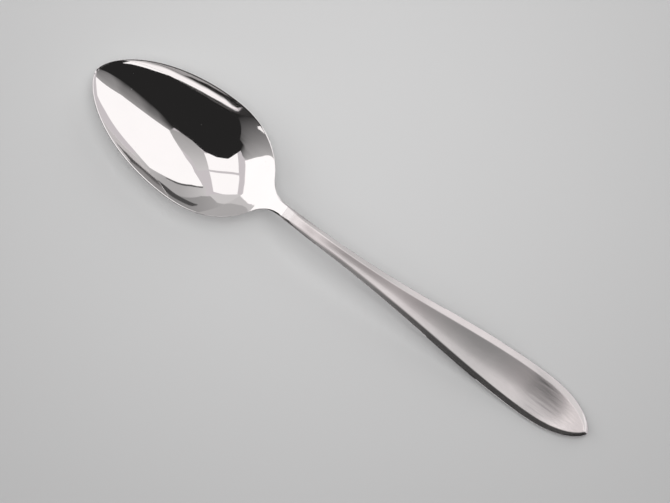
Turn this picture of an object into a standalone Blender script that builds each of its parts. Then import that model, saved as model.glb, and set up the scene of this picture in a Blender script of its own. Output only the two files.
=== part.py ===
# Tablespoon: a mirror-polished bowl and a satin-finished handle.
# Metres, +Z up, lying on the table as it does in use. The spoon runs along X with the tip of the bowl
# at -X and the end of the handle at +X. Stations along the spoon are measured from the tip of the bowl.

from math import cos, hypot, pi, sqrt

import bmesh
import bpy

# Plan of the spoon
SPOON_LENGTH = 0.2050
BOWL_LENGTH = 0.0720          # tip to the root of the shoulders
BOWL_WIDTH = 0.0402
BOWL_WIDEST_AT = 0.0430
NECK_WIDTH = 0.0050
NECK_START_AT = 0.0780        # the shoulders have run out into the neck
FILLET_START = 0.0025         # shoulder fillet starts this far before the root
FINISH_LINE_AT = 0.0788       # mirror polish ends, satin finish starts
HANDLE_WIDTH = 0.0168
HANDLE_WIDEST_AT = 0.1805

# Side view of the spoon
BOWL_DEPTH = 0.0099           # inside, below the rim
RIM_SLOPE = 0.02              # the rim rises this much for each unit from the tip to the shoulders
SLACK_START_AT = 0.0250       # from here to SLACK_END_AT the bowl passes from its front to its back form
SLACK_END_AT = 0.0590
SWEEP_START_AT = 0.0520       # from here on the rim sweeps up into the neck
NECK_SLOPE = 0.40             # slope that the sweep adds at the finish line
CREST_AT = 0.0930             # top of the arched handle
CREST_HEIGHT = 0.0193
HANDLE_REST_AT = 0.1900       # the handle touches the table here
END_LIFT = 0.0014             # the end of the handle turns up a little

# Walls, edges and the dished face of the handle
BOWL_WALL = 0.0017
RIM_WALL = 0.0011
RIM_INSET = 0.0007            # the rounded rim edge, seen from above
NECK_THICKNESS = 0.0040
WALL_SWELL_AT = 0.0560        # under the bowl the wall starts to swell into the neck
HANDLE_THICKNESS = 0.0027     # at the widest part
HANDLE_EDGE = 0.0016          # height of its side, bevel included
NECK_BEVEL = 0.0009
HANDLE_BEVEL = 0.0022
NECK_BEVEL_DROP = 0.0004
HANDLE_BEVEL_DROP = 0.0009
FACE_DISH = 0.0006            # hollow of the top face between its two creases
END_LAND = 0.0018             # bevel that runs round the end of the handle
REST_FLAT_DEPTH = 0.00012     # worn flats where the spoon touches the table
JOIN_GAP = 0.0003

# Roundness of the curves
FRONT_FULLNESS = 2.6          # 2 is a parabola, more is a flatter bottom with steeper walls
BACK_FULLNESS = 1.85
FRONT_KEEL_POWER = 1.6        # depth along the middle follows the width of the bowl to this power
BACK_KEEL_POWER = 2.4
SWEEP_POWER = 2.6             # more is a later and quicker sweep from the rim into the neck
RIM_ROUND_OUT, RIM_ROUND_DOWN = 0.70, 0.25
BEVEL_ROUND_OUT, BEVEL_ROUND_DOWN = 0.60, 0.40
FRONT_POWER, FRONT_ROUND = 2.0, 0.60
BACK_POWER, BACK_ROUND = 2.3, 0.62
END_POWER, END_ROUND = 2.6, 0.70
EDGE_FLARE = 1.5
CREASE_FLARE = 1.8
NECK_BELLY = 2.0              # 2 is a round underside
HANDLE_BELLY = 4.0            # more is flat with rounded edges

# Facets
RIM_STEPS = 46
END_FACE_STEPS = 4
BOWL_RINGS = 13
RIM_CROWDING = 1.3            # above 1 the rings lie closer together towards the rim
HANDLE_STEPS = 44
END_CROWDING = 1.6            # above 1 the rows lie closer together towards the end of the handle
FACE_STEPS = 5
BELLY_STEPS = 6
SHARP_ANGLE = pi / 7
SEAT_STEPS = 400
WELD = 1e-6


def ease(t):
    t = min(max(t, 0.0), 1.0)
    return t * t * (3.0 - 2.0 * t)


def mix(a, b, t):
    return a + (b - a) * t


def hermite(x, start, end):
    # cubic from (x, height, slope) to (x, height, slope)
    (x0, z0, s0), (x1, z1, s1) = start, end
    span = x1 - x0
    t = (x - x0) / span
    rise = (z0 * (2 * t**3 - 3 * t**2 + 1) + z1 * (3 * t**2 - 2 * t**3))
    return rise + span * (s0 * (t**3 - 2 * t**2 + t) + s1 * (t**3 - t**2))


def bulge(t, power, roundness):
    return max(0.0, 1.0 - abs(t)**power)**roundness


def egg(x, inset=0.0):
    # half-width of the egg-shaped bowl, without the neck
    half = BOWL_WIDTH / 2 - inset
    if x < BOWL_WIDEST_AT:
        return half * bulge((BOWL_WIDEST_AT - x) / (BOWL_WIDEST_AT - inset), FRONT_POWER, FRONT_ROUND)
    return half * bulge((x - BOWL_WIDEST_AT) / (BOWL_LENGTH - inset - BOWL_WIDEST_AT), BACK_POWER, BACK_ROUND)


def bowl_half_width(x, inset=0.0):
    # the egg, run out into the neck by a concave fillet
    join = BOWL_LENGTH - FILLET_START
    neck = NECK_WIDTH / 2 - inset
    if x <= join:
        return egg(x, inset)
    if x >= NECK_START_AT:
        return neck
    step = FILLET_START / 100
    slope = (egg(join, inset) - egg(join - step, inset)) / step
    return hermite(x, (join, egg(join, inset), slope), (NECK_START_AT, neck, 0.0))


def handle_flare(x):
    # 0 at the finish line, 1 from the widest part on
    return ease((x - FINISH_LINE_AT) / (HANDLE_WIDEST_AT - FINISH_LINE_AT))


def pointed_oval(x, end):
    # 1 up to the widest part of the handle, 0 at its end
    return bulge(max(x - HANDLE_WIDEST_AT, 0.0) / (end - HANDLE_WIDEST_AT), END_POWER, END_ROUND)


def edge_half_width(x):
    flare = handle_flare(x)**EDGE_FLARE
    return mix(NECK_WIDTH / 2, HANDLE_WIDTH / 2, flare) * pointed_oval(x, SPOON_LENGTH)


def crease_half_width(x):
    # the creases run inside the edges and meet END_LAND before the end
    flare = handle_flare(x)**CREASE_FLARE
    half = mix(NECK_WIDTH / 2 - NECK_BEVEL, HANDLE_WIDTH / 2 - HANDLE_BEVEL, flare)
    return half * pointed_oval(x, SPOON_LENGTH - END_LAND)


def bowl_line(x, rim):
    # height of the rim and of the top of the neck; rim is the height beside the widest part of the bowl
    span = FINISH_LINE_AT - SWEEP_START_AT
    t = max(x - SWEEP_START_AT, 0.0) / span
    return rim + RIM_SLOPE * (x - BOWL_WIDEST_AT) + NECK_SLOPE * span * t**SWEEP_POWER / SWEEP_POWER


def top_line(x, rim):
    # height of the rim and of the handle's upper edges, along the whole spoon
    if x <= FINISH_LINE_AT:
        return bowl_line(x, rim)
    neck = (FINISH_LINE_AT, bowl_line(FINISH_LINE_AT, rim), RIM_SLOPE + NECK_SLOPE)
    crest = (CREST_AT, CREST_HEIGHT, 0.0)
    rest = (HANDLE_REST_AT, HANDLE_THICKNESS - REST_FLAT_DEPTH, 0.0)
    end = (SPOON_LENGTH, rest[1] + END_LIFT, 2 * END_LIFT / (SPOON_LENGTH - HANDLE_REST_AT))
    for start, stop in ((neck, crest), (crest, rest), (rest, end)):
        if x <= stop[0]:
            return hermite(x, start, stop)
    return end[1]


def inside(x, y, rim):
    # upper surface of the bowl and neck; the keel is the depth along the middle of the bowl
    slack = ease((x - SLACK_START_AT) / (SLACK_END_AT - SLACK_START_AT))
    keel_power = mix(FRONT_KEEL_POWER, BACK_KEEL_POWER, slack)
    fullness = mix(FRONT_FULLNESS, BACK_FULLNESS, slack)
    keel = BOWL_DEPTH * (egg(x, RIM_INSET) / (BOWL_WIDTH / 2 - RIM_INSET))**keel_power
    half = max(bowl_half_width(x, RIM_INSET), WELD)
    return top_line(x, rim) - keel * (1.0 - (abs(y) / half)**fullness)


def slope_along(surface, x):
    step = RIM_INSET / 10
    return (surface(x + step) - surface(x - step)) / (2 * step)


def underside(x, y, spread, rim):
    # outer surface opposite a point of the inside, by a wall measured square to it;
    # spread is 0 in the middle of the bowl and 1 at the rim
    along = slope_along(lambda station: inside(station, y, rim), x)
    across = slope_along(lambda side: inside(x, side, rim), y)
    wall = mix(BOWL_WALL, RIM_WALL, spread**2)
    swell = ease((x - WALL_SWELL_AT) / (FINISH_LINE_AT - WALL_SWELL_AT))
    across_neck = min(abs(y) / max(bowl_half_width(x, RIM_INSET), WELD), 1.0)
    wall = mix(wall, NECK_THICKNESS, swell * (1.0 - across_neck**NECK_BELLY))
    lean = along**2 if x > BOWL_WIDEST_AT else 0.0
    return inside(x, y, rim) - wall * (1.0 + lean) / sqrt(1.0 + along**2 + across**2)


def bowl_outline():
    # half of the rim seen from above, from the tip to the end face at the finish line
    end = FINISH_LINE_AT - JOIN_GAP / 2
    points = []
    for i in range(RIM_STEPS + 1):
        x = end * (1.0 - cos(pi * i / RIM_STEPS)) / 2
        points.append((x, bowl_half_width(x) if i else 0.0))
    last = points[-1][1]
    face = [(end, last * (1.0 - i / END_FACE_STEPS)) for i in range(1, END_FACE_STEPS + 1)]
    return points, face


def inset_outline(points, face):
    # the inner edge of the rim: the outline moved in by RIM_INSET
    inner = [(RIM_INSET, 0.0)]
    for (xa, ya), (x, y), (xb, yb) in zip(points, points[1:], points[2:]):
        length = hypot(xb - xa, yb - ya)
        inner.append((x + RIM_INSET * (yb - ya) / length, max(y - RIM_INSET * (xb - xa) / length, 0.0)))
    end, last = points[-1]
    narrow = (last - RIM_INSET) / last
    inner.append((end, last * narrow))
    return inner + [(end, y * narrow) for x, y in face]


def seat_height():
    # rim height at which the bowl's underside presses REST_FLAT_DEPTH into the table
    stations = [BOWL_LENGTH * i / SEAT_STEPS for i in range(1, SEAT_STEPS)]
    lowest = min(underside(x, 0.0, 0.0, 0.0) for x in stations)
    return -lowest - REST_FLAT_DEPTH


def metal(name, colour, roughness):
    material = bpy.data.materials.new(name)
    material.use_nodes = True
    shader = material.node_tree.nodes["Principled BSDF"]
    shader.inputs["Base Color"].default_value = (*colour, 1.0)
    shader.inputs["Metallic"].default_value = 1.0
    shader.inputs["Roughness"].default_value = roughness
    return material


def mirrored_object(name, half, collection, material):
    # half of the piece, open at its plane of symmetry, with a Mirror modifier
    bmesh.ops.remove_doubles(half, verts=half.verts, dist=WELD)
    mesh = bpy.data.meshes.new(name)
    half.to_mesh(mesh)
    half.free()
    mesh.shade_smooth()
    mesh.set_sharp_from_angle(angle=SHARP_ANGLE)
    mesh.materials.append(material)
    piece = bpy.data.objects.new(name, mesh)
    collection.objects.link(piece)
    mirror = piece.modifiers.new("Mirror", "MIRROR")
    mirror.use_axis = (False, True, False)
    mirror.merge_threshold = WELD
    return piece


def skin(half, rows):
    # faces between neighbouring rows of vertices
    for row, following in zip(rows, rows[1:]):
        for a, b, c, d in zip(row, row[1:], following[1:], following):
            corners = list(dict.fromkeys((a, d, c, b)))
            if len(corners) > 2:
                half.faces.new(corners)


def spoon_point(half, x, y, z):
    return half.verts.new((x - SPOON_LENGTH / 2, y, max(z, 0.0)))


def build_bowl(collection, rim):
    half = bmesh.new()
    points, face = bowl_outline()
    outer = points + face
    inner = inset_outline(points, face)
    middle = BOWL_WIDEST_AT
    top_pole = spoon_point(half, middle, 0.0, inside(middle, 0.0, rim))
    low_pole = spoon_point(half, middle, 0.0, underside(middle, 0.0, 0.0, rim))
    spreads = [1.0 - (1.0 - i / BOWL_RINGS)**RIM_CROWDING for i in range(1, BOWL_RINGS + 1)]
    rows = []
    for (xi, yi), (xo, yo) in zip(inner, outer):
        ray = [(s, mix(middle, xi, s), yi * s) for s in spreads]
        row = [top_pole]
        for s, x, y in ray:
            row.append(spoon_point(half, x, y, inside(x, y, rim)))
        edge_high = inside(xi, yi, rim)
        edge_low = underside(xi, yi, 1.0, rim)
        row.append(spoon_point(half, mix(xi, xo, RIM_ROUND_OUT), mix(yi, yo, RIM_ROUND_OUT),
                               mix(edge_high, edge_low, RIM_ROUND_DOWN)))
        for s, x, y in reversed(ray):
            row.append(spoon_point(half, mix(middle, xo, s), yo * s, underside(x, y, s, rim)))
        row.append(low_pole)
        rows.append(row)
    skin(half, rows)
    return mirrored_object("bowl", half, collection, metal("polished_steel", (0.80, 0.79, 0.78), 0.05))


def build_handle(collection, rim):
    half = bmesh.new()
    start = FINISH_LINE_AT + JOIN_GAP / 2
    rows = []
    for i in range(HANDLE_STEPS + 1):
        t = i / HANDLE_STEPS
        x_edge = start + (SPOON_LENGTH - start) * (1.0 - (1.0 - t)**END_CROWDING)
        flare = handle_flare(x_edge)
        late = ease((x_edge - HANDLE_WIDEST_AT) / (SPOON_LENGTH - HANDLE_WIDEST_AT))
        x_face = x_edge - END_LAND * late
        edge = edge_half_width(x_edge)
        crease = crease_half_width(x_face)
        dish = FACE_DISH * flare * (1.0 - late)
        slant = sqrt(1.0 + slope_along(lambda station: top_line(station, rim), x_edge)**2)
        drop = mix(NECK_BEVEL_DROP, HANDLE_BEVEL_DROP, flare) * slant
        side = mix(RIM_WALL, HANDLE_EDGE, flare) * slant
        depth = mix(NECK_THICKNESS, HANDLE_THICKNESS, flare) * slant
        belly = mix(NECK_BELLY, HANDLE_BELLY, flare)
        row = []
        for j in range(FACE_STEPS + 1):
            s = j / FACE_STEPS
            row.append(spoon_point(half, x_face, crease * s, top_line(x_face, rim) - dish * (1.0 - s * s)))
        x_bevel = mix(x_face, x_edge, BEVEL_ROUND_OUT)
        bevel = mix(crease, edge, BEVEL_ROUND_OUT)
        row.append(spoon_point(half, x_bevel, bevel, top_line(x_bevel, rim) - BEVEL_ROUND_DOWN * drop))
        top = top_line(x_edge, rim)
        row.append(spoon_point(half, x_edge, edge, top - drop))
        for j in range(BELLY_STEPS + 1):
            s = cos(pi / 2 * j / BELLY_STEPS)
            low = side + (depth - side) * (1.0 - s**belly)
            row.append(spoon_point(half, x_edge, edge * s if j < BELLY_STEPS else 0.0, top - low))
        rows.append(row)
    half.faces.new(rows[0])
    skin(half, rows)
    return mirrored_object("handle", half, collection, metal("satin_steel", (0.72, 0.71, 0.70), 0.35))


def build_spoon():
    for old in list(bpy.data.objects):
        bpy.data.objects.remove(old, do_unlink=True)
    spoon = bpy.data.collections.new("tablespoon")
    bpy.context.scene.collection.children.link(spoon)
    rim = seat_height()
    build_bowl(spoon, rim)
    build_handle(spoon, rim)


build_spoon()
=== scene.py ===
from math import atan, cos, hypot, pi, radians, sin, sqrt

import bpy
from mathutils import Matrix, Vector


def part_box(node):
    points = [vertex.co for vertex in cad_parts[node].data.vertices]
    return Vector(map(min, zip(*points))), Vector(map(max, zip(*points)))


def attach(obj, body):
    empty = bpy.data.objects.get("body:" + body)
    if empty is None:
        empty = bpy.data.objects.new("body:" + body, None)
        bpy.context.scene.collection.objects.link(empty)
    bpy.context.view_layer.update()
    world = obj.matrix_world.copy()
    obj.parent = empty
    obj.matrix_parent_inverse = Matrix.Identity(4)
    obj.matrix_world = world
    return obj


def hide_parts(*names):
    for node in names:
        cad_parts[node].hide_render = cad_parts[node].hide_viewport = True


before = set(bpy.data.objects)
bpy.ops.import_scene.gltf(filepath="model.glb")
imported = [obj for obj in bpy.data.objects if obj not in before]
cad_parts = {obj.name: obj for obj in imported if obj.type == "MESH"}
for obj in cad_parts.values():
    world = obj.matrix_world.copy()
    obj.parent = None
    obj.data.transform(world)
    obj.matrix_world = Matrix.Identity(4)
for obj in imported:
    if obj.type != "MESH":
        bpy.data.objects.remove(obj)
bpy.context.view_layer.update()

bowlLow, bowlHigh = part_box("bowl")
handleLow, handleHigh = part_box("handle")
weld = 1e-7  # metres, points closer than this are one
sharpFrom = radians(60)  # edges bent more than this stay sharp
print("frame loaded:", ", ".join(sorted(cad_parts)))

# The spoon's form, in metres. Stations run along the spoon from the tip of the bowl.
tipX = bowlLow.x
spoonLength = handleHigh.x - bowlLow.x
finishLine = (bowlHigh.x + handleLow.x) / 2 - tipX  # mirror polish ends and satin starts
joinGap = handleLow.x - bowlHigh.x

bowl = {
    "width": bowlHigh.y - bowlLow.y,
    "length": 0.0720,  # tip to the root of the shoulders
    "widestAt": 0.0430,
    "depth": 0.0099,
    "fullness": (2.6, 1.85),  # front and back; 2 is a parabola, more has a flatter bottom
    "keelPower": (1.6, 2.4),  # depth along the middle follows the width to this power
    "slackens": (0.025, 0.059),  # stations between which the form passes from front to back
    "wall": 0.0017,
    "rimWall": 0.0011,
    "rimInset": 0.0005,
    "rimRoundIn": 0.0005,  # radius of the rim's inner half
    "rimRoundOut": 0.00012,
    "underRound": 0.0003,
    "underRise": 0.4,  # share of the side that this rounding takes
    "front": (2.0, 0.60),  # power and roundness of the egg towards the tip
    "back": (2.3, 0.62),
    "filletStart": 0.0025,
    "neckStart": 0.0780,
    "swellAt": 0.0560,  # the wall starts to thicken into the neck
    "rimSlope": 0.02,
    "sweepStart": 0.0520,  # from here the rim sweeps up into the neck
    "sweepSlope": 0.40,
    "sweepPower": 2.6,
    "rings": 220,
    "facePoints": 48,
    "underPoints": 30,
    "roundPoints": 6,
    "cornerPoints": 4,
}

handle = {
    "width": handleHigh.y - handleLow.y,
    "widestAt": 0.1805,
    "neckWidth": 0.0050,
    "neckThickness": 0.0040,
    "thickness": 0.0027,
    "neckEdge": 0.0011,
    "edge": 0.0016,  # height of the side, bevel included
    "neckBevel": (0.0013, 0.0008),  # width and drop
    "bevel": (0.0022, 0.0009),
    "bevelPower": 1.5,  # more is a flatter start at the crease
    "bevelSettles": 0.012,  # over this length it leaves the round form of the polished neck
    "creaseRound": 0.00012,
    "creaseShare": 0.2,  # of the bevel, at most
    "dish": 0.0006,
    "endLand": 0.0018,  # bevel round the end
    "crestAt": 0.0930,
    "crestHeight": handleHigh.z,
    "restAt": 0.1900,
    "restFlat": 0.00012,
    "endLift": 0.0014,
    "endOval": (2.6, 0.70),
    "edgeFlare": 1.5,
    "creaseFlare": 1.8,
    "bellies": (2.0, 4.0),  # 2 is a round underside, 4 a flat one with round edges
    "rings": 260,
    "crowding": 1.6,  # more puts the rings closer towards the end
    "facePoints": 22,
    "bevelPoints": 8,
    "bellyPoints": 16,
}


def ease(t):
    t = min(max(t, 0.0), 1.0)
    return t * t * (3.0 - 2.0 * t)


def mix(a, b, t):
    return a + (b - a) * t


def hermite(x, start, stop):
    (x0, z0, s0), (x1, z1, s1) = start, stop  # station, height, slope
    span = x1 - x0
    t = (x - x0) / span
    rise = z0 * (2 * t**3 - 3 * t**2 + 1) + z1 * (3 * t**2 - 2 * t**3)
    return rise + span * (s0 * (t**3 - 2 * t**2 + t) + s1 * (t**3 - t**2))


def bulge(t, shape):
    power, roundness = shape
    return max(0.0, 1.0 - abs(t)**power)**roundness


def slopeOf(curve, x):
    step = 1e-5
    return (curve(x + step) - curve(x - step)) / (2 * step)


def eggHalf(x, inset=0.0):  # half-width of the bowl without its neck
    half = bowl["width"] / 2 - inset
    widest = bowl["widestAt"]
    if x < widest:
        return half * bulge((widest - x) / (widest - inset), bowl["front"])
    return half * bulge((x - widest) / (bowl["length"] - inset - widest), bowl["back"])


def bowlHalf(x, inset=0.0):  # the egg, run out into the neck by a fillet
    join = bowl["length"] - bowl["filletStart"]
    neck = handle["neckWidth"] / 2 - inset
    if x <= join:
        return eggHalf(x, inset)
    if x >= bowl["neckStart"]:
        return neck
    step = bowl["filletStart"] / 100
    slope = (eggHalf(join, inset) - eggHalf(join - step, inset)) / step
    return hermite(x, (join, eggHalf(join, inset), slope), (bowl["neckStart"], neck, 0.0))


def rimRise(x):  # the rim, above its height beside the widest part
    span = finishLine - bowl["sweepStart"]
    t = max(x - bowl["sweepStart"], 0.0) / span
    sweep = bowl["sweepSlope"] * span * t**bowl["sweepPower"] / bowl["sweepPower"]
    return bowl["rimSlope"] * (x - bowl["widestAt"]) + sweep


rimHeight = bowlHigh.z - rimRise(finishLine - joinGap / 2)


def topLine(x):  # height of the rim and of the handle's upper edges
    if x <= finishLine:
        return rimHeight + rimRise(x)
    neck = (finishLine, rimHeight + rimRise(finishLine), bowl["rimSlope"] + bowl["sweepSlope"])
    crest = (handle["crestAt"], handle["crestHeight"], 0.0)
    rest = (handle["restAt"], handle["thickness"] - handle["restFlat"], 0.0)
    end = (spoonLength, rest[1] + handle["endLift"], 2 * handle["endLift"] / (spoonLength - rest[0]))
    for start, stop in ((neck, crest), (crest, rest), (rest, end)):
        if x <= stop[0]:
            return hermite(x, start, stop)
    return end[1]


def bowlFace(x, y):  # height of the polished upper face
    inset = bowl["rimInset"]
    start, stop = bowl["slackens"]
    slack = ease((x - start) / (stop - start))
    keelPower = mix(*bowl["keelPower"], slack)
    keel = bowl["depth"] * (eggHalf(x, inset) / (bowl["width"] / 2 - inset))**keelPower
    wall = (abs(y) / max(bowlHalf(x, inset), 1e-6))**mix(*bowl["fullness"], slack)
    return topLine(x) - keel * (1.0 - wall)


def bowlUnder(x, y, spread):  # height of the underside, opposite a point of the face
    along = slopeOf(lambda station: bowlFace(station, y), x)
    across = slopeOf(lambda side: bowlFace(x, side), y)
    wall = mix(bowl["wall"], bowl["rimWall"], spread**2)
    swell = ease((x - bowl["swellAt"]) / (finishLine - bowl["swellAt"]))
    wall = mix(wall, handle["neckThickness"], swell * (1.0 - spread**handle["bellies"][0]))
    lean = along**2 if x > bowl["widestAt"] else 0.0
    return bowlFace(x, y) - wall * (1.0 + lean) / sqrt(1.0 + along**2 + across**2)


def spoonPoint(x, y, z):
    return Vector((x + tipX, y, max(z, 0.0)))


def bendCorner(a, corner, b, steps):  # points of a rounded corner
    shares = [i / steps for i in range(steps + 1)]
    return [a * (1 - t)**2 + corner * 2 * t * (1 - t) + b * t**2 for t in shares]


def closeRing(half):  # a ring of the spoon from its half, top middle to bottom middle
    other = [Vector((p.x, -p.y, p.z)) for p in reversed(half[1:-1])]
    return half + other + [half[0].copy()]


def newSheet(name, across, down, place):  # a flat grid, its point in column i and row j moved to place(i, j)
    bpy.ops.object.select_all(action="DESELECT")
    bpy.ops.mesh.primitive_grid_add(x_subdivisions=across, y_subdivisions=down, size=1.0)
    piece = bpy.context.object
    piece.name = piece.data.name = name
    for point in piece.data.vertices:
        point.co = place(round((point.co.x + 0.5) * across), round((point.co.y + 0.5) * down))
    piece.data.update()
    return piece


def wrapBlank(name, rings):  # a sheet, one column of points for each ring, bent round the form
    piece = newSheet(name, len(rings) - 1, len(rings[0]) - 1, lambda i, j: rings[i][j])
    bpy.ops.object.mode_set(mode="EDIT")
    bpy.ops.mesh.select_all(action="SELECT")
    bpy.ops.mesh.remove_doubles(threshold=weld)
    bpy.ops.mesh.dissolve_degenerate(threshold=weld)
    bpy.ops.mesh.select_all(action="DESELECT")
    bpy.ops.mesh.select_mode(type="EDGE")
    bpy.ops.mesh.select_non_manifold(use_wire=False, use_multi_face=False, use_non_contiguous=False)
    bpy.ops.mesh.edge_face_add()  # the end at the finish line
    bpy.ops.mesh.select_all(action="SELECT")
    bpy.ops.mesh.normals_make_consistent(inside=False)
    bpy.ops.object.mode_set(mode="OBJECT")
    bpy.ops.object.shade_smooth_by_angle(angle=sharpFrom)
    return piece


def rimPoint(i):  # outline of the bowl and its outward direction, seen from above
    x = finishLine * (1.0 - cos(pi * i / bowl["rings"])) / 2
    if i == 0:
        return 0.0, 0.0, -1.0, 0.0
    y = bowlHalf(x)
    step = min(x, finishLine - x) / 100 + weld
    along, across = 2 * step, bowlHalf(x + step) - bowlHalf(x - step)
    length = hypot(along, across)
    return x, y, -across / length, along / length


def bowlRing(i):
    x, y, outX, outY = rimPoint(i)
    inset = bowl["rimInset"]
    probe = 1e-5
    nearX, nearY = x - inset * outX, max(y - inset * outY, 0.0)
    rise = bowlFace(nearX, nearY) - bowlFace(nearX - probe * outX, max(nearY - probe * outY, 0.0))
    tilt = atan(max(rise / probe, 0.0))  # how steep the wall is at the rim
    neck = ease((x - bowl["length"]) / (finishLine - bowl["length"]))
    fading = ease((x - bowl["swellAt"]) / (bowl["length"] - bowl["swellAt"]))
    roundIn = bowl["rimRoundIn"] * (1.0 - fading)
    roundOut = mix(bowl["rimRoundOut"], handle["neckBevel"][0], neck)
    roundDown = mix(bowl["rimRoundOut"], handle["neckBevel"][1], neck)
    edgeWidth = roundIn * sin(tilt) + roundOut
    innerX, innerY = x - edgeWidth * outX, max(y - edgeWidth * outY, 0.0)
    half = []
    count = bowl["facePoints"]
    for j in range(count + 1):  # polished face, from the middle to the rim
        side = innerY * sin(pi / 2 * j / count)
        half.append(spoonPoint(innerX, side, bowlFace(innerX, side)))
    edgeZ = half[-1].z
    count = bowl["roundPoints"]
    for j in range(1, count + 1):  # inner half of the rim
        turn = tilt * (1.0 - j / count)
        out = roundIn * (sin(tilt) - sin(turn))
        up = roundIn * (cos(turn) - cos(tilt))
        half.append(spoonPoint(innerX + out * outX, innerY + out * outY, edgeZ + up))
    crestZ = half[-1].z
    for j in range(1, count + 1):  # outer half of the rim
        turn = pi / 2 * j / count
        out = edgeWidth - roundOut * (1.0 - sin(turn))
        down = roundDown * (1.0 - cos(turn))
        half.append(spoonPoint(innerX + out * outX, innerY + out * outY, crestZ - down))
    low = bowlUnder(innerX, innerY, 1.0)
    bend = min(bowl["underRound"], y / 2)
    share = max(1.0 - bend / y, 0.0) if y > weld else 0.0
    corner = spoonPoint(x, y, low)
    below = spoonPoint(x, y * share, bowlUnder(innerX, innerY * share, share))
    above = corner.lerp(half[-1], bowl["underRise"])
    half += bendCorner(above, corner, below, bowl["cornerPoints"])
    count = bowl["underPoints"]
    for j in range(1, count + 1):  # underside, back to the middle
        v = share * cos(pi / 2 * j / count)
        half.append(spoonPoint(x, y * v, bowlUnder(innerX, innerY * v, v)))
    half[0].y = half[-1].y = 0.0
    return closeRing(half)


def handleFlare(x):  # 0 at the finish line, 1 from the widest part on
    return ease((x - finishLine) / (handle["widestAt"] - finishLine))


def endOval(x, end):
    return bulge(max(x - handle["widestAt"], 0.0) / (end - handle["widestAt"]), handle["endOval"])


def edgeHalf(x):
    flare = handleFlare(x)**handle["edgeFlare"]
    return mix(handle["neckWidth"] / 2, handle["width"] / 2, flare) * endOval(x, spoonLength)


def creaseHalf(x):  # the creases run inside the edges and meet before the end
    flare = handleFlare(x)**handle["creaseFlare"]
    neck = handle["neckWidth"] / 2 - handle["neckBevel"][0]
    half = mix(neck, handle["width"] / 2 - handle["bevel"][0], flare)
    return half * endOval(x, spoonLength - handle["endLand"])


def handleRing(i):
    t = i / handle["rings"]
    x = finishLine + (spoonLength - finishLine) * (1.0 - (1.0 - t)**handle["crowding"])
    flare = handleFlare(x)
    late = ease((x - handle["widestAt"]) / (spoonLength - handle["widestAt"]))
    settled = ease((x - finishLine) / handle["bevelSettles"])
    faceX = x - handle["endLand"] * late
    edge, crease = edgeHalf(x), creaseHalf(faceX)
    slant = sqrt(1.0 + slopeOf(topLine, x)**2)
    dish = handle["dish"] * flare * (1.0 - late)
    drop = mix(handle["neckBevel"][1], handle["bevel"][1], flare) * slant
    side = mix(handle["neckEdge"], handle["edge"], flare) * slant
    depth = mix(handle["neckThickness"], handle["thickness"], flare) * slant
    belly = mix(*handle["bellies"], flare)
    half = []
    count = handle["facePoints"]
    creaseRound = min(handle["creaseRound"], crease / 3)
    creaseShare = min(creaseRound / max(edge - crease, weld), handle["creaseShare"])
    for j in range(count + 1):  # dished face
        y = max(crease - creaseRound, 0.0) * j / count
        s = y / crease if crease > weld else 0.0
        half.append(spoonPoint(faceX, y, topLine(faceX) - dish * (1.0 - s * s)))
    count = handle["bevelPoints"]
    for j in range(count + 1):  # bevel
        s = mix(creaseShare, 1.0, j / count)
        fall = mix(1.0 - sqrt(1.0 - min(s * s, 1.0)), s**handle["bevelPower"], settled)
        station = mix(faceX, x, s)
        half.append(spoonPoint(station, mix(crease, edge, s), topLine(station) - drop * fall))
    top = topLine(x)
    corner = spoonPoint(x, edge, top - side)
    count = handle["bellyPoints"]
    half.append(half[-1].lerp(corner, 0.5))
    for j in range(count + 1):  # side and underside
        s = cos(pi / 2 * j / count)
        low = side + (depth - side) * (1.0 - s**belly)
        half.append(spoonPoint(x, edge * s if j < count else 0.0, top - low))
    half[0].y = 0.0
    return closeRing(half)


def makeBowl():
    piece = wrapBlank("bowlPolished", [bowlRing(i) for i in range(bowl["rings"] + 1)])
    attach(piece, "root")
    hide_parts("bowl")
    return piece


def makeHandle():
    piece = wrapBlank("handleSatin", [handleRing(i) for i in range(handle["rings"] + 1)])
    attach(piece, "root")
    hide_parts("handle")
    return piece


spoonBowl = makeBowl()
print("bowl:", len(spoonBowl.data.polygons), "faces")
spoonHandle = makeHandle()
print("handle:", len(spoonHandle.data.polygons), "faces")

# Finishes

polish = {
    "colours": ((0.925, 0.91, 0.91, 1.0), (0.94, 0.925, 0.925, 1.0)),
    "lines": (500.0, 2600.0),  # fine marks for each metre along and across the spoon
    "haze": (0.02, 0.05),
    "speck": 0.4,  # roughness added by a speck of dust
}

satin = {
    "colours": ((0.775, 0.752, 0.755, 1.0), (0.83, 0.808, 0.81, 1.0)),
    "lines": (40.0, 1700.0),
    "roughness": (0.15, 0.27),
    "bump": (0.06, 0.00005),  # strength and depth
}

wear = {  # marks that both finishes share
    "lineDetail": 3.0,
    "patches": (90.0, 2.0),  # scale and detail
    "specks": (330.0, 0.04),  # scale and size
    "contrast": (0.3, 0.7),  # noise between these fills the whole range
}


def newGroup(name, inputs, outputs):
    group = bpy.data.node_groups.new(name, "ShaderNodeTree")
    for way, labels in (("INPUT", inputs), ("OUTPUT", outputs)):
        for label in labels:
            group.interface.new_socket(label, in_out=way, socket_type="NodeSocketFloat")
    return group, group.nodes.new("NodeGroupInput"), group.nodes.new("NodeGroupOutput")


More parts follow.
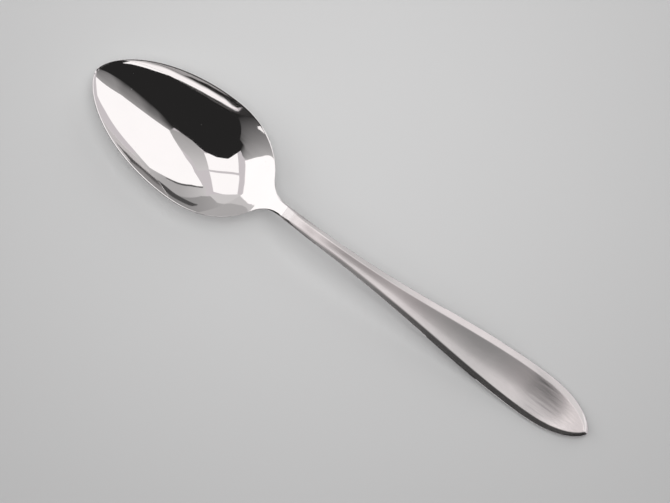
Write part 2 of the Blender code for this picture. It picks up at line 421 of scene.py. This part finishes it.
def steelMarks():  # fine lines that a wheel or belt leaves, broad patches, and a few specks
    group, given, result = newGroup("steelMarks", ["Along", "Across"], ["Mark", "Patch", "Speck"])
    nodes, links = group.nodes, group.links
    place = nodes.new("ShaderNodeTexCoord")
    stretch = nodes.new("ShaderNodeCombineXYZ")
    links.new(given.outputs["Along"], stretch.inputs["X"])
    links.new(given.outputs["Across"], stretch.inputs["Y"])
    links.new(given.outputs["Across"], stretch.inputs["Z"])
    scaled = nodes.new("ShaderNodeVectorMath")
    scaled.operation = "MULTIPLY"
    links.new(place.outputs["Object"], scaled.inputs[0])
    links.new(stretch.outputs["Vector"], scaled.inputs[1])
    lines = nodes.new("ShaderNodeTexNoise")
    lines.inputs["Scale"].default_value = 1.0
    lines.inputs["Detail"].default_value = wear["lineDetail"]
    links.new(scaled.outputs["Vector"], lines.inputs["Vector"])
    links.new(lines.outputs["Fac"], result.inputs["Mark"])
    patches = nodes.new("ShaderNodeTexNoise")
    patches.inputs["Scale"].default_value, patches.inputs["Detail"].default_value = wear["patches"]
    links.new(place.outputs["Object"], patches.inputs["Vector"])
    links.new(patches.outputs["Fac"], result.inputs["Patch"])
    dust = nodes.new("ShaderNodeTexVoronoi")
    near = nodes.new("ShaderNodeMath")
    near.operation = "LESS_THAN"
    dust.inputs["Scale"].default_value, near.inputs[1].default_value = wear["specks"]
    links.new(place.outputs["Object"], dust.inputs["Vector"])
    links.new(dust.outputs["Distance"], near.inputs[0])
    links.new(near.outputs["Value"], result.inputs["Speck"])
    return group


def newMaterial(name):
    material = bpy.data.materials.new(name)
    material.use_nodes = True
    shader = material.node_tree.nodes["Principled BSDF"]
    return material, material.node_tree.nodes, material.node_tree.links, shader


def addMarks(nodes, group, lines):
    marks = nodes.new("ShaderNodeGroup")
    marks.node_tree = group
    marks.inputs["Along"].default_value, marks.inputs["Across"].default_value = lines
    return marks


def spread(nodes, links, source, limits):  # a mark stretched between two values
    node = nodes.new("ShaderNodeMapRange")
    node.inputs["From Min"].default_value, node.inputs["From Max"].default_value = wear["contrast"]
    node.inputs["To Min"].default_value, node.inputs["To Max"].default_value = limits
    links.new(source, node.inputs["Value"])
    return node.outputs["Result"]


def patchColour(nodes, links, marks, colours):
    tone = nodes.new("ShaderNodeMix")
    tone.data_type = "RGBA"
    tone.inputs["A"].default_value, tone.inputs["B"].default_value = colours
    links.new(spread(nodes, links, marks.outputs["Patch"], (0.0, 1.0)), tone.inputs["Factor"])
    return tone.outputs["Result"]


def polishedSteel(marksGroup):
    material, nodes, links, shader = newMaterial("polishedSteel")
    shader.inputs["Metallic"].default_value = 1.0
    marks = addMarks(nodes, marksGroup, polish["lines"])
    links.new(patchColour(nodes, links, marks, polish["colours"]), shader.inputs["Base Color"])
    rough = nodes.new("ShaderNodeMath")
    rough.operation = "MULTIPLY_ADD"
    rough.inputs[1].default_value = polish["speck"]
    links.new(marks.outputs["Speck"], rough.inputs[0])
    links.new(spread(nodes, links, marks.outputs["Mark"], polish["haze"]), rough.inputs[2])
    links.new(rough.outputs["Value"], shader.inputs["Roughness"])
    return material


def satinSteel(marksGroup):
    material, nodes, links, shader = newMaterial("satinSteel")
    shader.inputs["Metallic"].default_value = 1.0
    marks = addMarks(nodes, marksGroup, satin["lines"])
    links.new(patchColour(nodes, links, marks, satin["colours"]), shader.inputs["Base Color"])
    links.new(spread(nodes, links, marks.outputs["Mark"], satin["roughness"]), shader.inputs["Roughness"])
    bump = nodes.new("ShaderNodeBump")
    bump.inputs["Strength"].default_value, bump.inputs["Distance"].default_value = satin["bump"]
    links.new(marks.outputs["Mark"], bump.inputs["Height"])
    links.new(bump.outputs["Normal"], shader.inputs["Normal"])
    return material


marksGroup = steelMarks()
spoonBowl.data.materials.append(polishedSteel(marksGroup))
spoonHandle.data.materials.append(satinSteel(marksGroup))
print("finishes made")

# Studio. Directions are (azimuth from the picture's right, angle from straight up), in degrees.

camera = {
    "turn": 36.62,  # degrees, the spoon lies across the picture
    "lean": 3.5,  # degrees, the camera stands a little to the side of the spoon
    "centre": (-0.00227, -0.00108),
    "sightHeight": 0.009,
    "distance": 1.0,
    "fieldWidth": 0.2241,
    "sensor": 36.0,
    "clipStart": 0.01,
}

cardColour = (1.0, 0.972, 0.968, 1.0)
wallToWall = 1.5  # mirror paths with more bounces than this have crossed the bowl

softboxEdge = [(-28, 7), (-32, 17), (-33, 30), (-19, 55)]  # its skirt hangs here

cards = {
    "softbox": {
        "light": (1.05, 1.05),
        "distance": 1.2,
        "rows": [softboxEdge,
                 [(46, 12), (19, 19), (-1, 31), (-1, 62)],
                 [(67, 27), (49, 37), (27, 46), (11, 71)],
                 [(77, 44), (59, 58), (44, 68), (21, 71)],
                 [(87, 59), (65, 69), (52, 81), (32, 75)]],
    },
    "softboxSkirt": {
        "light": (0.36, 0.022),
        "distance": 1.2,
        "rows": [softboxEdge,
                 [(-61, 7), (-55, 20), (-56, 33), (-63, 51)]],
    },
    "softboxTrim": {
        "light": (0.10, 0.10),
        "distance": 1.15,
        "rows": [[(87, 60), (74, 63), (65, 69), (59, 75)],
                 [(87, 61), (74, 65), (65, 71), (59, 76)]],
    },
    "darkDrape": {
        "light": (0.019, 0.019),
        "distance": 1.1,
        "rows": [[(-63, 51), (-56, 33), (-55, 20), (-61, 7), (-148, 3), (145, 9), (155, 24), (167, 40),
                  (-172, 61), (-160, 65), (-150, 69), (-145, 76), (-143, 92)],
                 [(azimuth, 100) for azimuth in (-50, -65, -80, -92, -103, -112, -116, -119,
                                                 -125, -131, -136, -140, -143)]],
    },
    "frontGlow": {
        "light": (1.05, 1.05),
        "distance": 0.6,
        "rows": [[(-93, 79.5), (-94, 79.5), (-98, 80), (-102, 80), (-105, 80.5),
                  (-108, 81), (-111, 82.5), (-114, 84.5), (-120, 86)],
                 [(-93, 80), (-94, 82), (-98, 88), (-102, 95), (-105, 96),
                  (-108, 96), (-111, 96), (-114, 96), (-120, 96)]],
    },
    "rimGlint": {
        "light": (1.0, 1.0),
        "distance": 0.6,
        "rows": [[(-149, 85.2), (-151, 84), (-153, 84), (-157, 83.8)],
                 [(-149, 86.2), (-151, 89.5), (-153, 89.5), (-157, 89.5)]],
    },
    "sideWall": {
        "light": (0.03, 0.43),
        "distance": 0.9,
        "rows": [[(-172, 60), (-165, 65), (-156, 65), (-149, 67),
                  (-143, 71), (-140, 78), (-140, 90), (-140, 112)],
                 [(180, 61), (-173, 65), (-166, 67), (-164, 71),
                  (-162, 75), (-160, 80), (-159, 90), (-158, 112)],
                 [(175.4, 63.8), (177.3, 67), (179.7, 71), (-178.2, 75.6),
                  (-175.6, 78.2), (-174.5, 88), (-174, 100), (-173, 112)]],
    },
    "sidePanel": {
        "light": (1.1, 1.1),
        "distance": 1.15,
        "rows": [[(174, 63), (154, 66), (132, 72), (121, 84)],
                 [(-176, 78), (165, 86), (138, 89), (121, 93)],
                 [(-173, 112), (168, 114), (143, 114), (120, 112)]],
    },
    "windowUpper": {
        "light": (1.05, 1.05),
        "distance": 1.2,
        "rows": [[(131, 10), (103, 35)], [(-175.5, 55.3), (151.5, 59.2)]],
    },
    "windowLower": {
        "light": (1.05, 1.05),
        "distance": 1.2,
        "rows": [[(102, 38), (99, 63)], [(147.5, 60.5), (126, 70.6)]],
    },
    "lowWall": {
        "light": (0.22, 0.55),
        "distance": 1.2,
        "rows": [[(50, 92), (50, 116)], [(67, 80), (67, 116)], [(84, 69), (84, 116)],
                 [(99, 66), (97, 116)], [(113, 67), (108, 116)], [(126, 72), (118, 116)],
                 [(132, 74), (121, 112)]],
    },
    "sill": {  # under the window
        "light": (0.62, 0.62),
        "distance": 0.98,
        "rows": [[(93, 65.5), (101, 65), (111, 65.5), (120, 68), (129, 71)],
                 [(93, 66.2), (100, 70.2), (108.5, 71.5), (116, 72.7), (128, 73.6)]],
    },
    "midWall": {
        "light": (0.60, 0.42),
        "fade": (0.0, 0.7),
        "distance": 1.5,
        "rows": [[(azimuth, 60), (azimuth, 78), (azimuth, 96)] for azimuth in (44, 48, 52, 56, 61, 66)],
    },
    "midWallEnd": {
        "light": (0.42, 0.60),
        "distance": 1.5,
        "rows": [[(azimuth, 58), (azimuth, 76), (azimuth, 94)] for azimuth in (66, 72, 78, 84, 90)],
    },
    "overWall": {
        "light": (0.37, 0.62),
        "distance": 1.5,
        "rows": [[(-120, 5), (-40, 8), (-10, 14)], [(150, 6), (90, 6), (50, 14)],
                 [(120, 20), (95, 18), (70, 22)], [(107, 36), (95, 36), (80, 40)]],
    },
    "lowTrim": {
        "light": (0.07, 0.07),
        "distance": 1.1,
        "rows": [[(52, 88), (59, 84), (66, 81), (74, 78), (80, 76)],
                 [(52, 91), (59, 88), (66, 84), (74, 80), (79, 77)]],
    },
}

# Small cards close to the bowl. Those that face the neck stand across the spoon, and their points are
# (side, height). Those for the walls lie level above the bowl, and their points are (station, side).
neckCardsAt = 0.054  # station
shoulderEdge = [  # height, side where the grey ends, side where the pale sill ends
    (0.0125, -0.0051, -0.0024), (0.0130, -0.0043, -0.0024), (0.0137, -0.0038, -0.0024),
    (0.0146, -0.0034, -0.0024), (0.0157, -0.0030, -0.0024), (0.0175, -0.0028, -0.0024),
    (0.0200, -0.0027, -0.0021), (0.0226, -0.0026, -0.0021), (0.0260, -0.0024, -0.0024)]
shoulderSide = -0.016
stripEdge = [  # stations and sides where the bright strip meets the dark inside it
    (0.0232, -0.0135), (0.028, -0.0148), (0.034, -0.0163), (0.048, -0.0163), (0.067, -0.0152), (0.094, -0.006)]
streakEdge = [  # the same for the dark streak and the grey outside it
    (0.036, 0.0068), (0.041, 0.0102), (0.050, 0.0140), (0.059, 0.0205)]
underStations = [0.004 + 0.005 * i for i in range(14)]
underGap = 0.0005  # between the underside and the light below it

smallCards = {
    "neckCard": {  # lights the polished neck, from the side of the tip
        "light": (1.1, 1.1),
        "faces": "neck",
        "station": neckCardsAt,
        "rows": [[(-0.0025, 0.0125), (0.0012, 0.0125)], [(-0.0024, 0.0165), (0.0012, 0.0165)],
                 [(-0.0022, 0.018), (0.016, 0.018)], [(-0.0020, 0.0226), (0.016, 0.0226)],
                 [(-0.0024, 0.026), (0.016, 0.026)], [(-0.016, 0.027), (0.016, 0.027)],
                 [(-0.016, 0.090), (0.016, 0.090)]],
    },
    "shoulderCard": {
        "light": (0.42, 0.42),
        "faces": "neck",
        "station": neckCardsAt,
        "rows": [[(shoulderSide, height), (grey, height)] for height, grey, pale in shoulderEdge],
    },
    "shoulderSill": {
        "light": (0.57, 0.57),
        "faces": "neck",
        "station": neckCardsAt,
        "rows": [[(grey, height), (pale, height)] for height, grey, pale in shoulderEdge[:-1]],
    },
    "underGlow": {  # what the polished underside throws back on the floor
        "light": (0.73, 0.73),
        "faces": "floor",
        "rows": [[(x, -v * bowlHalf(x), bowlUnder(x, v * bowlHalf(x), v) - underGap) for x in underStations]
                 for v in (0.5, 0.7, 0.9)],
    },
    "stripCard": {
        "light": (1.1, 0.05),
        "fade": (0.50, 1.0),
        "faces": "walls",
        "height": 0.11,
        "rows": [stripEdge[:4] + [(0.058, -0.0157)] + stripEdge[4:] + [(0.138, 0.000), (0.152, -0.016)],
                 [(0.0232, -0.0137), (0.028, -0.0183), (0.034, -0.0268), (0.048, -0.0375), (0.058, -0.042),
                  (0.067, -0.041), (0.094, -0.045), (0.138, -0.046), (0.152, -0.028)]],
    },
    "stripOuter": {
        "light": (0.38, 0.38),
        "faces": "walls",
        "height": 0.112,
        "rows": [[(0.026, -0.0235), (0.035, -0.0352), (0.046, -0.050), (0.058, -0.052),
                  (0.066, -0.040), (0.094, -0.038), (0.130, -0.042)],
                 [(x, -0.16) for x in (0.026, 0.035, 0.046, 0.058, 0.066, 0.094, 0.130)]],
    },
    "stripInner": {
        "light": (0.025, 0.05),
        "faces": "walls",
        "height": 0.11,
        "rows": [[(-0.060, 0.012), (0.0226, 0.006), (0.0232, 0.006), (0.028, 0.006), (0.034, 0.006),
                  (0.048, 0.004), (0.067, 0.004), (0.094, 0.004)],
                 [(-0.060, -0.060), (0.0226, -0.024)] + stripEdge],
    },
    "streakDark": {
        "light": (0.08, 0.12),
        "faces": "walls",
        "height": 0.11,
        "rows": [[(0.036, 0.0065), (0.041, 0.0076), (0.050, 0.0108), (0.059, 0.0140),
                  (0.071, 0.0146), (0.080, 0.0155)],
                 streakEdge + [(0.071, 0.0172), (0.080, 0.0158)]],
    },
    "streakMid": {
        "light": (0.29, 0.38),
        "faces": "walls",
        "height": 0.11,
        "rows": [[(0.028, 0.0050)] + streakEdge + [(0.066, 0.0300)],
                 [(x, 0.0450) for x in (0.028, 0.036, 0.041, 0.050, 0.059, 0.066)]],
    },
    "streakPale": {
        "light": (0.60, 0.60),
        "faces": "walls",
        "height": 0.112,
        "rows": [[(0.000, 0.004), (0.180, 0.006)],
                 [(0.000, 0.060), (0.180, 0.060)]],
    },
}


def direction(azimuth, zenith):
    turn = radians(azimuth + camera["turn"])
    tilt = radians(zenith)
    return Vector((sin(tilt) * cos(turn), sin(tilt) * sin(turn), cos(tilt)))


bowlCentre = Vector((tipX + bowl["widestAt"], 0.0, rimHeight))


def glow(name, card):  # plain light, even or fading from one edge of the card to the other
    material, nodes, links = newMaterial(name)[:3]
    nodes.clear()
    place = nodes.new("ShaderNodeUVMap")
    split = nodes.new("ShaderNodeSeparateXYZ")
    links.new(place.outputs["UV"], split.inputs["Vector"])
    fade = nodes.new("ShaderNodeMapRange")
    fade.inputs["From Min"].default_value, fade.inputs["From Max"].default_value = card.get("fade", (0.0, 1.0))
    fade.inputs["To Min"].default_value, fade.inputs["To Max"].default_value = card["light"]
    links.new(split.outputs["Y"], fade.inputs["Value"])
    shine = nodes.new("ShaderNodeEmission")
    shine.inputs["Color"].default_value = cardColour
    links.new(fade.outputs["Result"], shine.inputs["Strength"])
    result = nodes.new("ShaderNodeOutputMaterial")
    if card.get("faces") not in ("neck", "walls"):
        links.new(shine.outputs["Emission"], result.inputs["Surface"])
        return material
    clear = nodes.new("ShaderNodeBsdfTransparent")
    either = nodes.new("ShaderNodeMixShader")
    links.new(shine.outputs["Emission"], either.inputs[1])
    links.new(clear.outputs["BSDF"], either.inputs[2])
    links.new(either.outputs["Shader"], result.inputs["Surface"])
    if card["faces"] == "neck":  # shines on one side only
        side = nodes.new("ShaderNodeNewGeometry")
        links.new(side.outputs["Backfacing"], either.inputs["Fac"])
    else:  # seen only from wall to wall of the bowl
        path = nodes.new("ShaderNodeLightPath")
        first = nodes.new("ShaderNodeMath")
        first.operation = "LESS_THAN"
        first.inputs[1].default_value = wallToWall
        links.new(path.outputs["Glossy Depth"], first.inputs[0])
        links.new(first.outputs["Value"], either.inputs["Fac"])
    return material


def cardPoint(card, place):
    if "distance" in card:
        return bowlCentre + direction(*place) * card["distance"]
    if "station" in card:
        place = (card["station"], *place)
    elif "height" in card:
        place = (*place, card["height"])
    x, y, z = place
    return Vector((x + tipX, y, z))


def makeCard(name, card):
    rows = card["rows"]
    piece = newSheet(name, len(rows[0]) - 1, len(rows) - 1, lambda i, j: cardPoint(card, rows[j][i]))
    piece.data.materials.append(glow(name, card))
    piece.visible_camera = piece.visible_shadow = False
    piece.visible_diffuse = card.get("faces") == "floor"
    piece.visible_glossy = not piece.visible_diffuse
    piece.visible_transmission = piece.visible_volume_scatter = False


# A thin veil of light just above the handle, brighter over its crest and over its end
handleVeil = {
    "height": 0.028,
    "reach": 0.060,  # to either side
    "cover": 0.58,
    "colours": ((0.975, 0.962, 0.95, 1.0), (1.0, 0.935, 0.93, 1.0)),
    "warmsBetween": (0.52, 0.66),  # strengths of light over which it goes from cool to warm
    "darkFrom": 0.009,  # the even strip along the middle ends this far to its dark side
    "paleFrom": 0.0065,
    "blends": (0.005, 0.002),
    "stations": [  # station, light on the dark side, along the middle and on the pale side
        (0.074, 0.40, 0.74, 0.38), (0.080, 0.46, 1.02, 0.36), (0.092, 0.52, 1.24, 0.36),
        (0.0985, 0.52, 0.84, 0.36), (0.106, 0.42, 0.64, 0.36), (0.118, 0.40, 0.68, 0.36),
        (0.130, 0.28, 0.79, 0.50), (0.146, 0.16, 0.61, 0.74), (0.161, 0.11, 0.53, 0.78),
        (0.170, 0.10, 0.48, 0.80), (0.179, 0.10, 0.55, 0.77), (0.1865, 0.10, 0.66, 0.64),
        (0.1885, 0.10, 0.12, 0.32), (0.191, 0.10, 0.08, 0.28), (0.192, 0.10, 1.15, 0.60),
        (0.1926, 0.10, 1.80, 0.75), (0.1938, 0.10, 1.60, 0.70), (0.1948, 0.10, 1.22, 0.58),
        (0.220, 0.10, 1.25, 0.58)],
}


def makeVeil():
    stations, height, reach = handleVeil["stations"], handleVeil["height"], handleVeil["reach"]
    darkFrom, paleFrom = handleVeil["darkFrom"], handleVeil["paleFrom"]
    darkBlend, paleBlend = handleVeil["blends"]
    sides = [(-reach, 1), (-darkFrom - darkBlend, 1), (-darkFrom, 2),  # side, and which light it takes
             (paleFrom, 2), (paleFrom + paleBlend, 3), (reach, 3)]
    count = len(stations)
    piece = newSheet("handleVeil", count - 1, len(sides) - 1,
                     lambda i, j: (stations[i][0] + tipX, sides[j][0], height))
    tone = piece.data.attributes.new("tone", "FLOAT", "POINT")
    for index, point in enumerate(tone.data):  # points run along the handle, side after side
        point.value = stations[index % count][sides[index // count][1]]
    piece.data.flip_normals()  # shines downwards only
    material, nodes, links = newMaterial("handleVeil")[:3]
    nodes.clear()
    tones = nodes.new("ShaderNodeAttribute")
    tones.attribute_name = "tone"
    shine = nodes.new("ShaderNodeEmission")
    warmth = nodes.new("ShaderNodeMapRange")
    warmth.inputs["From Min"].default_value, warmth.inputs["From Max"].default_value = handleVeil["warmsBetween"]
    links.new(tones.outputs["Fac"], warmth.inputs["Value"])
    tint = nodes.new("ShaderNodeMix")
    tint.data_type = "RGBA"
    tint.inputs["A"].default_value, tint.inputs["B"].default_value = handleVeil["colours"]
    links.new(warmth.outputs["Result"], tint.inputs["Factor"])
    links.new(tint.outputs["Result"], shine.inputs["Color"])
    links.new(tones.outputs["Fac"], shine.inputs["Strength"])
    side = nodes.new("ShaderNodeNewGeometry")
    cover = nodes.new("ShaderNodeMapRange")
    cover.inputs["To Min"].default_value = handleVeil["cover"]
    cover.inputs["To Max"].default_value = 0.0
    links.new(side.outputs["Backfacing"], cover.inputs["Value"])
    clear = nodes.new("ShaderNodeBsdfTransparent")
    either = nodes.new("ShaderNodeMixShader")
    links.new(cover.outputs["Result"], either.inputs["Fac"])
    links.new(clear.outputs["BSDF"], either.inputs[1])
    links.new(shine.outputs["Emission"], either.inputs[2])
    result = nodes.new("ShaderNodeOutputMaterial")
    links.new(either.outputs["Shader"], result.inputs["Surface"])
    piece.data.materials.append(material)
    piece.visible_camera = piece.visible_diffuse = piece.visible_shadow = False


lamps = {
    "overLamp": {"from": (53, 3), "distance": 2.0, "size": 0.8, "watts": 8.4},
    "keyLamp": {"from": (53, 20), "distance": 2.0, "size": 0.8, "watts": 10.4},
    "sideLamp": {"from": (53, 61), "distance": 2.0, "size": 1.4, "watts": 8.6},
    "windowLamp": {"from": (150, 45), "distance": 2.0, "size": 2.0, "watts": 12.5},
}


def makeLamp(name, lamp):
    towards = direction(*lamp["from"])
    bpy.ops.object.light_add(type="AREA", location=towards * lamp["distance"])
    piece = bpy.context.object
    piece.name = name
    piece.rotation_euler = towards.to_track_quat("Z", "Y").to_euler()
    piece.data.size = lamp["size"]
    piece.data.energy = lamp["watts"]
    piece.visible_glossy = piece.visible_camera = False


# The floor's colour is painted paler around a middle point and darker further out: a painted pool of light and
# its falloff, added to what the lamps give.
floorCard = {
    "size": 6.0,
    "colour": (0.668, 0.675, 0.672, 1.0),
    "paintedShadeColour": (0.498, 0.503, 0.501, 1.0),
    "middle": (-0.035, 0.032, 0.0),  # palest here, the middle of a painted pool of light
    "paintedLightFadesBy": 0.228,  # metres
    "roughness": 0.6,
    "specular": 0.2,
    "gap": 0.0001,  # below the spoon
}


def makeFloor():
    bpy.ops.object.select_all(action="DESELECT")
    bpy.ops.mesh.primitive_plane_add(size=floorCard["size"], location=(0.0, 0.0, -floorCard["gap"]))
    piece = bpy.context.object
    piece.name = "floor"
    material, nodes, links, shader = newMaterial("paleFloor")
    place = nodes.new("ShaderNodeTexCoord")
    away = nodes.new("ShaderNodeVectorMath")
    away.operation = "DISTANCE"
    away.inputs[1].default_value = floorCard["middle"]
    links.new(place.outputs["Object"], away.inputs[0])
    reach = nodes.new("ShaderNodeMapRange")
    reach.interpolation_type = "SMOOTHSTEP"
    reach.inputs["From Max"].default_value = floorCard["paintedLightFadesBy"]
    links.new(away.outputs["Value"], reach.inputs["Value"])
    # painted light: the floor colour goes from pale near the middle to a darker painted shade further out
    tone = nodes.new("ShaderNodeMix")
    tone.data_type = "RGBA"
    tone.inputs["A"].default_value = floorCard["colour"]
    tone.inputs["B"].default_value = floorCard["paintedShadeColour"]
    links.new(reach.outputs["Result"], tone.inputs["Factor"])
    links.new(tone.outputs["Result"], shader.inputs["Base Color"])
    shader.inputs["Roughness"].default_value = floorCard["roughness"]
    shader.inputs["Specular IOR Level"].default_value = floorCard["specular"]
    piece.data.materials.append(material)


room = {
    "colour": (0.60, 0.565, 0.58, 1.0),
    "onMetal": 1.0,
    "onFloor": 0.38,  # less of it, so that the lamps draw the shadows
}


def makeRoom():
    world = bpy.data.worlds.new("room")
    bpy.context.scene.world = world
    world.use_nodes = True
    nodes, links = world.node_tree.nodes, world.node_tree.links
    back = nodes["Background"]
    back.inputs["Color"].default_value = room["colour"]
    path = nodes.new("ShaderNodeLightPath")
    share = nodes.new("ShaderNodeMapRange")
    share.inputs["To Min"].default_value = room["onMetal"]
    share.inputs["To Max"].default_value = room["onFloor"]
    links.new(path.outputs["Is Diffuse Ray"], share.inputs["Value"])
    links.new(share.outputs["Result"], back.inputs["Strength"])


def makeCamera():
    stance = Matrix.Rotation(-radians(camera["lean"]), 3, "X")
    sight = Vector((*camera["centre"], camera["sightHeight"]))
    bpy.ops.object.camera_add(location=sight + stance @ Vector((0.0, 0.0, camera["distance"])))
    eye = bpy.context.object
    eye.rotation_euler = (stance @ Matrix.Rotation(radians(camera["turn"]), 3, "Z")).to_euler()
    eye.name = "camera"
    eye.data.sensor_width = camera["sensor"]
    eye.data.lens = camera["sensor"] * camera["distance"] / camera["fieldWidth"]
    eye.data.clip_start = camera["clipStart"]
    bpy.context.scene.camera = eye


makeFloor()
makeRoom()
for name, card in (cards | smallCards).items():
    makeCard(name, card)
makeVeil()
for name, lamp in lamps.items():
    makeLamp(name, lamp)
makeCamera()
bpy.context.scene.view_settings.view_transform = "Standard"
print("studio lit:", len(cards) + len(smallCards), "cards,", len(lamps), "lamps")
